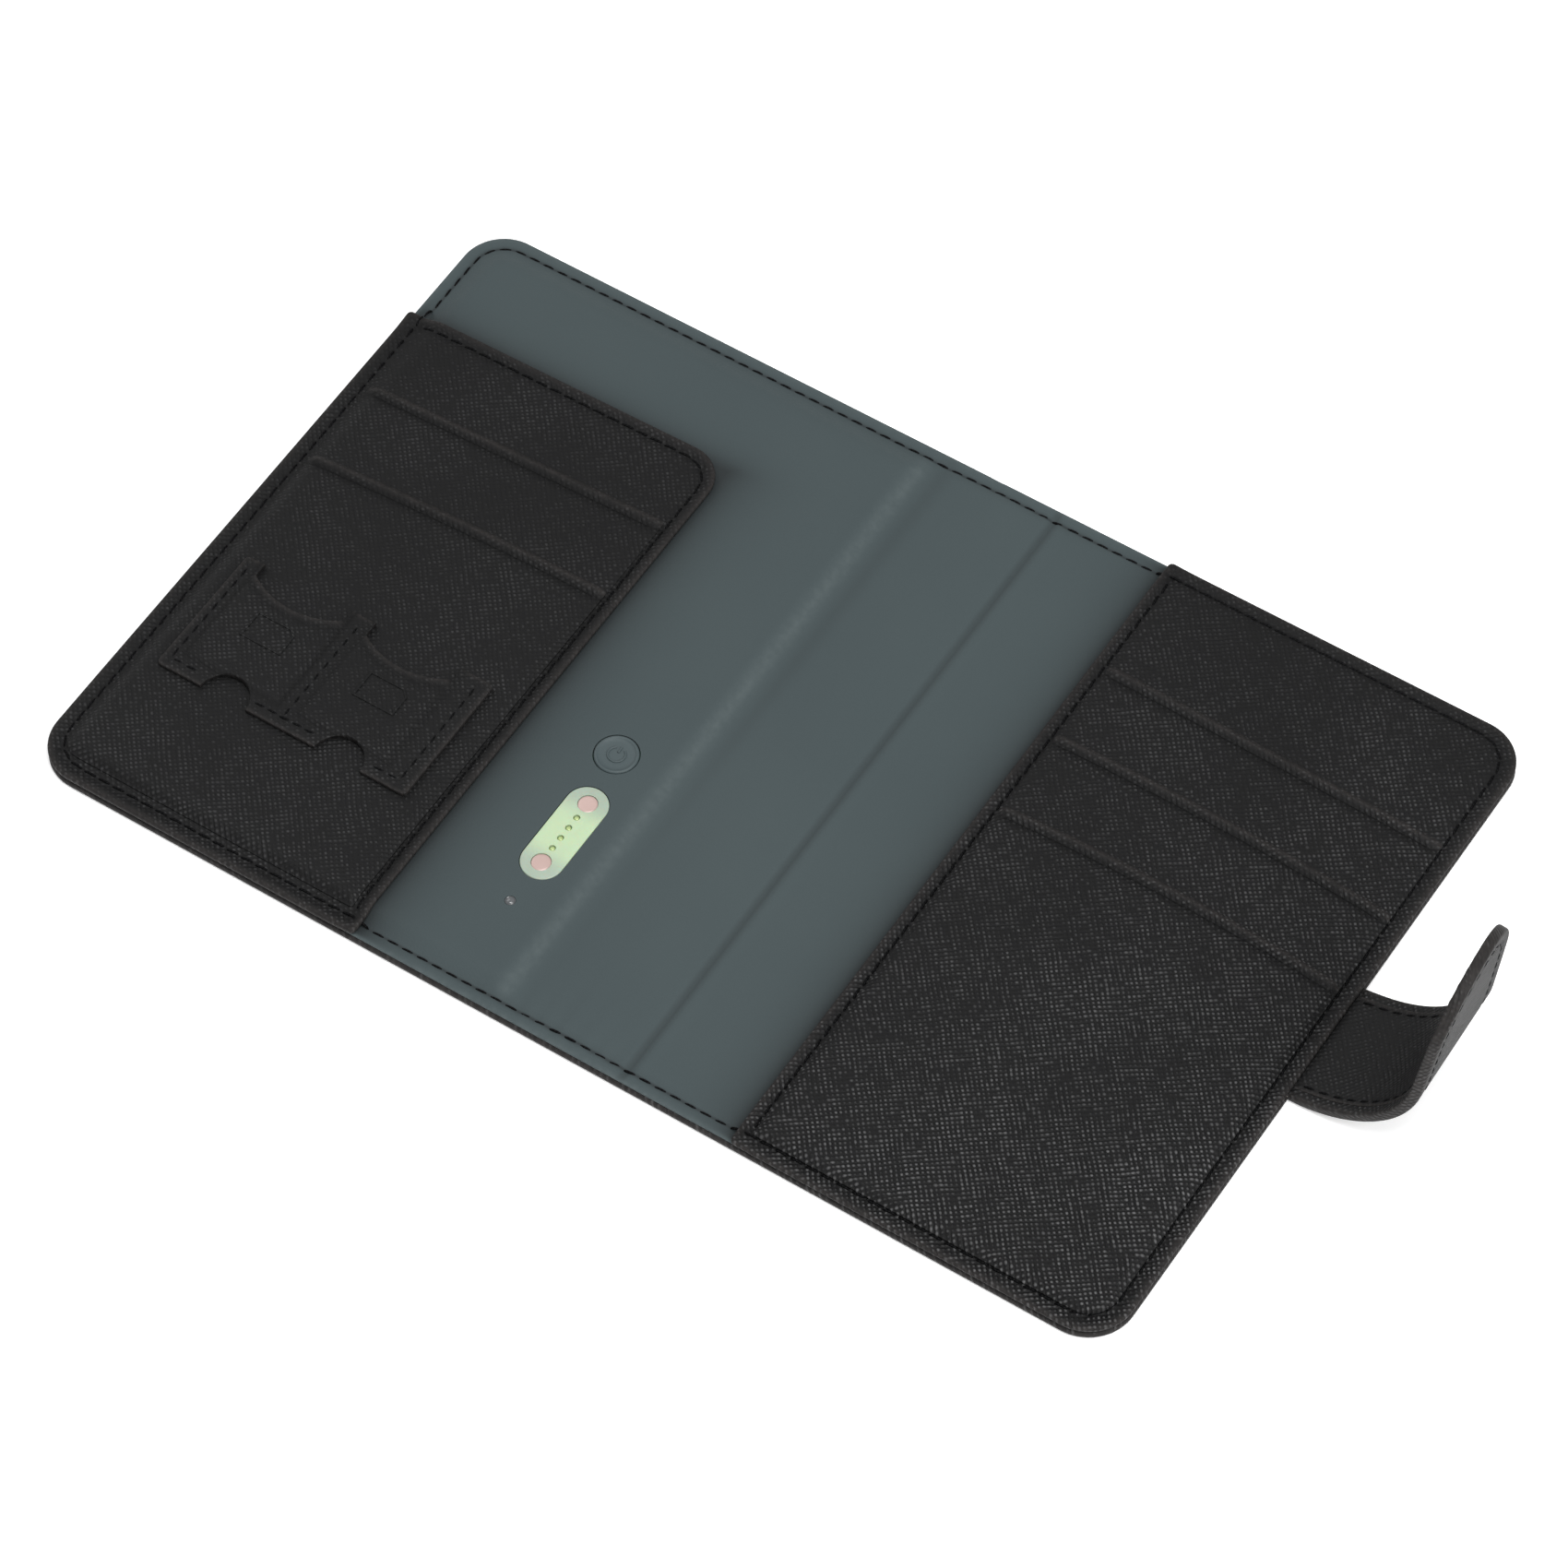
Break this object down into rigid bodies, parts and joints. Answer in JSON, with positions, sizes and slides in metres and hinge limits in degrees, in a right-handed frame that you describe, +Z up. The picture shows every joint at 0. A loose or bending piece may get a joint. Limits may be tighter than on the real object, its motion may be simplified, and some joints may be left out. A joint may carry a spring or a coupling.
{
  "type": "travel wallet",
  "caption": "Folding travel wallet, open flat: stitched covers and spine, passport and card pockets, small card pockets, power button, charge port, magnetic closure strap.",
  "frame": {"origin": "centre of the spine's underside, on the plane the open wallet lies on", "axes": "+X from the spine towards the back cover's fore edge and the strap, +Y towards the head edge, +Z up, out of the lining side"},
  "size_m": [0.2515, 0.145, 0.0499],
  "materials": {
    "outer_leather": "black cross-grained leather, semi-matt",
    "pocket_leather": "black cross-grained leather, semi-matt",
    "lining": "smooth slate-grey lining leather, matt",
    "card": "grey stiffener board",
    "resin": "black moulded resin",
    "battery": "foil pouch",
    "circuit": "green solder mask",
    "port_resin": "pale green translucent resin, smooth",
    "magnet": "plated magnet, faintly pink",
    "contact": "plated contact",
    "steel": "bare steel",
    "thread": "black waxed polyester thread"
  },
  "bodies": {
    "back_cover": {"back_leather": "outer_leather", "back_board": "card", "back_lining": "lining", "back_pocket_base": "pocket_leather", "back_slot_1": "pocket_leather", "back_slot_2": "pocket_leather", "back_slot_3": "pocket_leather", "back_panel_thread": "thread", "strap_anchor": "outer_leather"},
    "spine": {"spine_leather": "outer_leather", "spine_board": "card", "spine_lining": "lining"},
    "front_cover": {"front_leather": "outer_leather", "front_chassis": "resin", "battery_cell": "battery", "circuit_board": "circuit", "button_switch": "resin", "closure_plate": "steel", "front_lining": "lining", "charge_port": "port_resin", "port_magnet_head": "magnet", "port_magnet_tail": "magnet", "contact_1": "contact", "contact_2": "contact", "contact_3": "contact", "contact_4": "contact", "status_window": "port_resin", "front_pocket_base": "pocket_leather", "front_slot_1": "pocket_leather", "front_slot_2": "pocket_leather", "sim_patch": "pocket_leather", "sim_thread": "thread", "front_panel_thread": "thread", "front_edge_thread": "thread"},
    "power_button": {"power_button": "lining"},
    "strap_bridge": {"strap_bridge_outer": "outer_leather", "strap_bridge_inner": "outer_leather"},
    "strap_tab": {"strap_tab_outer": "outer_leather", "strap_tab_inner": "outer_leather", "strap_magnet": "magnet", "strap_thread": "thread"}
  },
  "joints": [
    {"name": "back_fold", "type": "hinge", "parent": "back_cover", "child": "spine", "pos_m": [0.013, 0, 0.0004], "axis": [0, 1, 0], "range_deg": [0, 90]},
    {"name": "front_fold", "type": "hinge", "parent": "spine", "child": "front_cover", "pos_m": [-0.013, 0, 0.0004], "axis": [0, 1, 0], "range_deg": [0, 90]},
    {"name": "power_press", "type": "slide", "parent": "front_cover", "child": "power_button", "axis": [0, 0, -1], "range_m": [0, 0.0003], "stiffness_N_per_m": 500, "springref_m": -0.001},
    {"name": "strap_root_fold", "type": "hinge", "parent": "back_cover", "child": "strap_bridge", "pos_m": [0.1134, 0, 0.00133], "axis": [0, -1, 0], "range_deg": [0, 44]},
    {"name": "strap_tab_fold", "type": "hinge", "parent": "strap_bridge", "child": "strap_tab", "pos_m": [0.13521, 0, 0.0234], "axis": [0, -1, 0], "range_deg": [-45, 58]}
  ]
}
